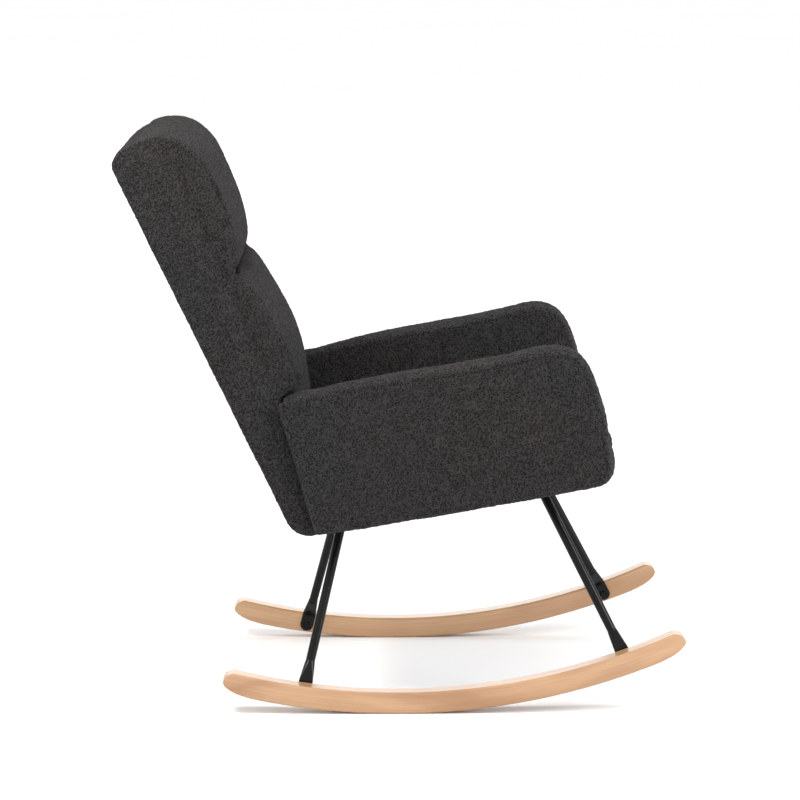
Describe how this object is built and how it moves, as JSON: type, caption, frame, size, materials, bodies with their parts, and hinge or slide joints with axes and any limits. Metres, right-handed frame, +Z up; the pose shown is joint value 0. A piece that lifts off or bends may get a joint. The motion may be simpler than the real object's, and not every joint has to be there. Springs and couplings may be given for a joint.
{
  "type": "rocking chair",
  "caption": "Upholstered rocking chair with a reclined padded back, padded arms, steel tube legs and bent wooden rockers.",
  "frame": {"origin": "on the floor, in the middle of the chair's bounding box seen from above", "axes": "+X across the chair to the sitter's left, -Y to the front, +Z up"},
  "size_m": [0.6988, 0.9699, 0.984],
  "materials": {
    "rocker_wood": "satin",
    "black_steel": "gloss",
    "zinc_steel": "satin",
    "frame_wood": "matte",
    "plywood": "matte",
    "webbing": "matte",
    "foam": "matte",
    "dust_cloth": "matte",
    "upholstery": "matte"
  },
  "bodies": {
    "root": {"rocker_left": "rocker_wood", "rocker_right": "rocker_wood", "leg_front_left": "black_steel", "leg_front_right": "black_steel", "leg_rear_left": "black_steel", "leg_rear_right": "black_steel", "leg_plate_front_left": "black_steel", "leg_plate_front_right": "black_steel", "leg_plate_rear_left": "black_steel", "leg_plate_rear_right": "black_steel", "rocker_bolts": "black_steel", "rocker_inserts": "zinc_steel", "plate_bolts": "black_steel", "plate_inserts": "zinc_steel", "seat_front_rail": "frame_wood", "seat_rear_rail": "frame_wood", "seat_side_rail_left": "frame_wood", "seat_side_rail_right": "frame_wood", "leg_bearer_left": "plywood", "leg_bearer_right": "plywood", "seat_webbing_cross": "webbing", "seat_webbing_long": "webbing", "seat_foam": "foam", "seat_cover": "upholstery", "seat_border": "upholstery", "dust_cover": "dust_cloth", "dust_cover_staples": "zinc_steel", "arm_panel_left": "plywood", "arm_panel_right": "plywood", "arm_foam_left": "foam", "arm_foam_right": "foam", "arm_cover_left": "upholstery", "arm_cover_right": "upholstery", "arm_bolts": "zinc_steel", "arm_tee_nuts": "zinc_steel", "back_stile_left": "frame_wood", "back_stile_right": "frame_wood", "back_top_rail": "frame_wood", "back_middle_rail": "frame_wood", "back_bottom_rail": "frame_wood", "back_webbing": "webbing", "back_bolts": "zinc_steel", "back_inserts": "zinc_steel", "back_foam": "foam", "back_cushion": "upholstery", "head_foam": "foam", "head_cushion": "upholstery", "back_shell": "upholstery"}
  },
  "joints": []
}
